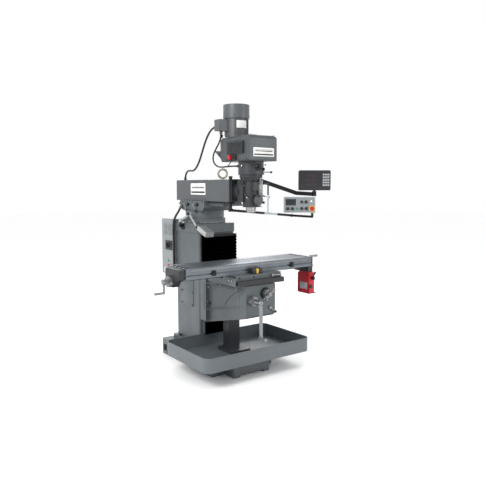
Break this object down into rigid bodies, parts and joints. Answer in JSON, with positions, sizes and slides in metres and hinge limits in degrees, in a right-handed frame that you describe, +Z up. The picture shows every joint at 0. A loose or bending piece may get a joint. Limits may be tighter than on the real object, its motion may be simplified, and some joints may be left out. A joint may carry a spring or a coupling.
{
  "type": "vertical milling machine",
  "caption": "Turret milling machine: base, column, knee, saddle, slotted table, sliding ram, tilting head with quill and motor, chip pan.",
  "frame": {"origin": "on the floor, at the centre of the four anchor bolts of the base", "axes": "+X to the operator's right, along the table; +Y from the operator to the column; +Z up"},
  "size_m": [1.792, 1.566, 2.392],
  "materials": {
    "casting_paint": "satin",
    "dark_paint": "satin",
    "head_paint": "satin",
    "pan_paint": "satin",
    "cabinet_paint": "satin",
    "ground_iron": "brushed",
    "bright_steel": "polished",
    "plain_steel": "brushed",
    "black_oxide": "matte",
    "black_plastic": "matte",
    "grey_plastic": "matte",
    "red_plastic": "gloss",
    "white_plastic": "gloss",
    "clear_shield": "clear",
    "rubber_sheet": "matte",
    "belt_rubber": "matte",
    "cable_rubber": "matte"
  },
  "bodies": {
    "frame": {"base_casting": "casting_paint", "chip_pan": "pan_paint", "column": "casting_paint", "column_bolts": "black_oxide", "knee_screw_post": "pan_paint", "electrical_cabinet": "cabinet_paint", "column_way_cover": "rubber_sheet", "lower_way_cover": "rubber_sheet", "light_base": "black_oxide", "ram_conduit": "cable_rubber"},
    "cabinet_door": {"cabinet_door": "cabinet_paint"},
    "main_switch": {"main_switch_knob": "black_plastic"},
    "light_arm": {"light_arm": "black_oxide"},
    "light_forearm": {"light_forearm": "black_oxide"},
    "light_head": {"light_head": "black_plastic"},
    "turret": {"turret_base": "casting_paint", "ram_saddle": "casting_paint", "turret_bolts": "black_oxide"},
    "ram": {"ram": "casting_paint", "head_adapter": "dark_paint", "eyebolt": "plain_steel", "arm_brackets": "black_oxide", "motor_cable": "cable_rubber"},
    "dro_arm": {"dro_arm": "black_oxide"},
    "dro_display": {"dro_display": "black_plastic"},
    "pendant_arm": {"pendant_arm": "black_oxide"},
    "pendant_panel": {"pendant_panel": "grey_plastic"},
    "estop_button": {"estop_button": "red_plastic"},
    "speed_knob": {"speed_knob": "black_plastic"},
    "head": {"head_casting": "dark_paint", "gear_housing": "head_paint", "belt_cover": "head_paint", "motor_housing": "dark_paint", "motor_cowl": "dark_paint", "motor_box": "dark_paint", "drive_belt": "belt_rubber", "head_lead": "cable_rubber"},
    "motor_rotor": {"motor_rotor": "plain_steel"},
    "spindle_pulley": {"spindle_pulley": "plain_steel"},
    "quill": {"quill": "bright_steel", "spindle_bearings": "plain_steel"},
    "spindle": {"spindle": "bright_steel", "drawbar": "plain_steel"},
    "quill_pinion": {"quill_pinion": "plain_steel"},
    "fine_feed_wheel": {"fine_feed_wheel": "plain_steel"},
    "brake_lever": {"brake_lever": "plain_steel"},
    "head_switch": {"head_switch": "red_plastic"},
    "chip_shield": {"chip_shield": "clear_shield"},
    "knee": {"knee": "casting_paint"},
    "knee_screw": {"knee_screw": "plain_steel"},
    "knee_crank": {"knee_crank": "plain_steel"},
    "cross_screw": {"cross_screw": "plain_steel"},
    "saddle": {"saddle": "casting_paint", "saddle_cover": "casting_paint"},
    "saddle_lock": {"saddle_lock": "plain_steel"},
    "table": {"table": "ground_iron", "end_brackets": "dark_paint", "power_feed": "red_plastic"},
    "lead_screw": {"lead_screw": "plain_steel"},
    "feed_lever": {"feed_lever": "black_plastic"}
  },
  "joints": [
    {"name": "cabinet_door_hinge", "type": "hinge", "parent": "frame", "child": "cabinet_door", "pos_m": [0.231, 0.631, 1.071], "axis": [0, 0, -1], "range_deg": [0, 110]},
    {"name": "main_switch_turn", "type": "hinge", "parent": "frame", "child": "main_switch", "pos_m": [-0.236, 0.49, 1.087], "axis": [1, 0, 0], "range_deg": [-90, 0]},
    {"name": "light_swivel", "type": "hinge", "parent": "frame", "child": "light_arm", "pos_m": [-0.238, 0.245, 1.35], "axis": [0, 0, -1], "range_deg": [0, 60]},
    {"name": "light_elbow", "type": "hinge", "parent": "light_arm", "child": "light_forearm", "pos_m": [-0.249, 0.057, 1.42], "axis": [-1, 0, 0], "range_deg": [-5, 25]},
    {"name": "light_tilt", "type": "hinge", "parent": "light_forearm", "child": "light_head", "pos_m": [-0.238, -0.08, 1.303], "axis": [-1, 0, 0], "range_deg": [-30, 20]},
    {"name": "turret_swivel", "type": "hinge", "parent": "frame", "child": "turret", "pos_m": [0, 0.175, 1.3873], "axis": [0, 0, 1], "range_deg": [-90, 90], "deforming": ["ram_conduit"]},
    {"name": "ram_slide", "type": "slide", "parent": "turret", "child": "ram", "axis": [0, 1, 0], "range_m": [-0.1, 0.3]},
    {"name": "dro_swing", "type": "hinge", "parent": "ram", "child": "dro_arm", "pos_m": [0.109, -0.37, 1.772], "axis": [0, 0, 1], "range_deg": [-25, 25]},
    {"name": "dro_turn", "type": "hinge", "parent": "dro_arm", "child": "dro_display", "pos_m": [0.655, -0.68, 1.64], "axis": [0, 0, 1], "range_deg": [-30, 30]},
    {"name": "pendant_swing", "type": "hinge", "parent": "ram", "child": "pendant_arm", "pos_m": [-0.092, -0.4, 1.465], "axis": [0, 0, -1], "range_deg": [-35, 30]},
    {"name": "pendant_turn", "type": "hinge", "parent": "pendant_arm", "child": "pendant_panel", "pos_m": [0.582, -0.734, 1.432], "axis": [0, 0, 1], "range_deg": [-30, 30]},
    {"name": "estop_push", "type": "slide", "parent": "pendant_panel", "child": "estop_button", "axis": [0.5878, 0.809, 0], "range_m": [0, 0.006], "stiffness_N_per_m": 600},
    {"name": "speed_knob_turn", "type": "hinge", "parent": "pendant_panel", "child": "speed_knob", "pos_m": [0.48582, -0.69626, 1.5363], "axis": [-0.5878, -0.809, 0], "range_deg": [0, 270]},
    {"name": "head_tilt", "type": "hinge", "parent": "ram", "child": "head", "pos_m": [0, -0.47, 1.632], "axis": [0, 1, 0], "range_deg": [-45, 36], "deforming": ["motor_cable"]},
    {"name": "motor_spin", "type": "hinge", "parent": "head", "child": "motor_rotor", "pos_m": [0, -0.358, 2.1], "axis": [0, 0, 1], "continuous": true},
    {"name": "spindle_pulley_spin", "type": "hinge", "parent": "head", "child": "spindle_pulley", "pos_m": [0, -0.575, 1.96], "axis": [0, 0, 1], "continuous": true},
    {"name": "quill_slide", "type": "slide", "parent": "head", "child": "quill", "axis": [0, 0, 1], "range_m": [-0.127, 0]},
    {"name": "spindle_spin", "type": "hinge", "parent": "quill", "child": "spindle", "pos_m": [0, -0.575, 1.6], "axis": [0, 0, 1], "continuous": true},
    {"name": "quill_lever_turn", "type": "hinge", "parent": "head", "child": "quill_pinion", "pos_m": [0.1, -0.5095, 1.6], "axis": [1, 0, 0], "range_deg": [0, 364]},
    {"name": "fine_feed_turn", "type": "hinge", "parent": "head", "child": "fine_feed_wheel", "pos_m": [0, -0.68, 1.56], "axis": [0, 1, 0], "continuous": true},
    {"name": "brake_lever_swing", "type": "hinge", "parent": "head", "child": "brake_lever", "pos_m": [0.124, -0.575, 1.8], "axis": [0, 0, 1], "range_deg": [-20, 20]},
    {"name": "head_switch_turn", "type": "hinge", "parent": "head", "child": "head_switch", "pos_m": [-0.16, -0.49, 1.924], "axis": [1, 0, 0], "range_deg": [0, 90]},
    {"name": "chip_shield_swing", "type": "hinge", "parent": "head", "child": "chip_shield", "pos_m": [0.105, -0.682, 1.57], "axis": [0, 0, 1], "range_deg": [-90, 0]},
    {"name": "knee_slide", "type": "slide", "parent": "frame", "child": "knee", "axis": [0, 0, 1], "range_m": [-0.1016, 0.3048], "deforming": ["column_way_cover", "lower_way_cover"]},
    {"name": "knee_screw_turn", "type": "hinge", "parent": "knee", "child": "knee_screw", "pos_m": [0, -0.275, 0.5], "axis": [0, 0, 1], "range_deg": [-14400, 43200]},
    {"name": "knee_crank_turn", "type": "hinge", "parent": "knee", "child": "knee_crank", "pos_m": [-0.1, -0.8, 0.703], "axis": [0, 1, 0], "range_deg": [-14400, 43200]},
    {"name": "saddle_slide", "type": "slide", "parent": "knee", "child": "saddle", "axis": [0, -1, 0], "range_m": [-0.1524, 0.254]},
    {"name": "cross_screw_turn", "type": "hinge", "parent": "knee", "child": "cross_screw", "pos_m": [0.045, -0.75, 0.752], "axis": [0, 1, 0], "range_deg": [-10800, 18000]},
    {"name": "saddle_lock_turn", "type": "hinge", "parent": "saddle", "child": "saddle_lock", "pos_m": [0.14, -0.7, 0.902], "axis": [0, -1, 0], "range_deg": [0, 60]},
    {"name": "table_slide", "type": "slide", "parent": "saddle", "child": "table", "axis": [1, 0, 0], "range_m": [-0.4318, 0.4318]},
    {"name": "lead_screw_turn", "type": "hinge", "parent": "table", "child": "lead_screw", "pos_m": [0, -0.47, 0.903], "axis": [1, 0, 0], "range_deg": [-30600, 30600]},
    {"name": "feed_lever_swing", "type": "hinge", "parent": "table", "child": "feed_lever", "pos_m": [0.728, -0.6, 0.8], "axis": [0, 1, 0], "range_deg": [-25, 25]}
  ],
  "couplings": [
    {"joint": "spindle_pulley_spin", "follows": "motor_spin", "ratio": 0.63415},
    {"joint": "spindle_spin", "follows": "motor_spin", "ratio": 0.63415},
    {"joint": "quill_lever_turn", "follows": "quill_slide", "rad_per_m": -50},
    {"joint": "knee_screw_turn", "follows": "knee_slide", "rad_per_m": 2473.7},
    {"joint": "knee_crank_turn", "follows": "knee_slide", "rad_per_m": 2473.7},
    {"joint": "cross_screw_turn", "follows": "saddle_slide", "rad_per_m": 1236.8},
    {"joint": "lead_screw_turn", "follows": "table_slide", "rad_per_m": 1236.8}
  ]
}
